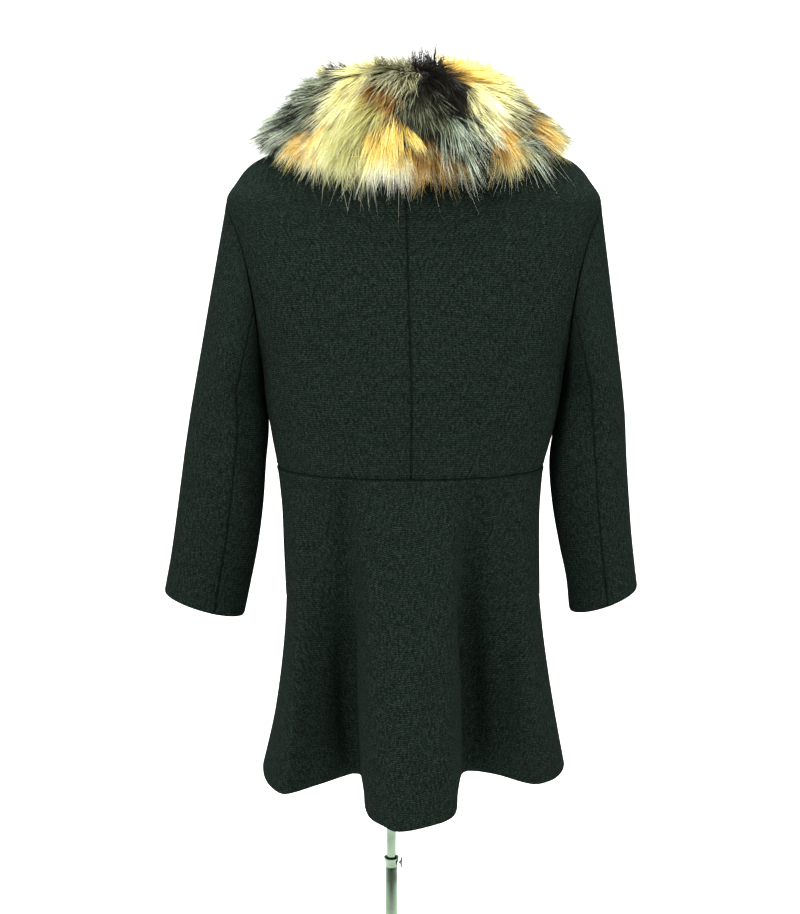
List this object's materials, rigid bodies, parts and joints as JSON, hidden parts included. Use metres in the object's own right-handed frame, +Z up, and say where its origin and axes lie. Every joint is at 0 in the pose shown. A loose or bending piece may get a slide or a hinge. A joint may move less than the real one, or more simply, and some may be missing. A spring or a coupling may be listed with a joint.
{
  "type": "wool coat on dress form",
  "caption": "Thigh-length fit-and-flare wool coat with a patchwork fox-fur collar, worn by a limbless dress form on a telescoping pole with a round base.",
  "frame": {"origin": "middle of the base plate's underside, on the floor", "axes": "+Z up along the pole, -Y out of the coat's back, +X to the right as seen from behind"},
  "size_m": [0.6311, 0.4242, 1.547],
  "materials": {
    "wool": "dark green-charcoal wool, ribbed weave with a soft nap",
    "fox_fur": "long fox fur in patches of gold, cream, taupe, black and silver",
    "jersey": "cream jersey drawn tight over the form",
    "chrome": "polished chrome plate"
  },
  "bodies": {
    "stand": {"lower_tube": "chrome", "clamp_cup": "chrome", "clamp_screw": "chrome", "base_plate": "chrome"},
    "worn_form": {"bodice_back_left": "wool", "bodice_back_right": "wool", "bodice_front_left": "wool", "bodice_front_right": "wool", "skirt_back": "wool", "skirt_front_left": "wool", "skirt_front_right": "wool", "pocket_lip_left": "wool", "pocket_lip_right": "wool", "upper_sleeve_left": "wool", "under_sleeve_left": "wool", "upper_sleeve_right": "wool", "under_sleeve_right": "wool", "fur_collar": "fox_fur", "dress_form": "jersey", "neck_cap": "chrome", "upper_rod": "chrome"}
  },
  "joints": [
    {"name": "height_slide", "type": "slide", "parent": "stand", "child": "worn_form", "axis": [0, 0, 1], "range_m": [-0.15, 0.2]}
  ]
}
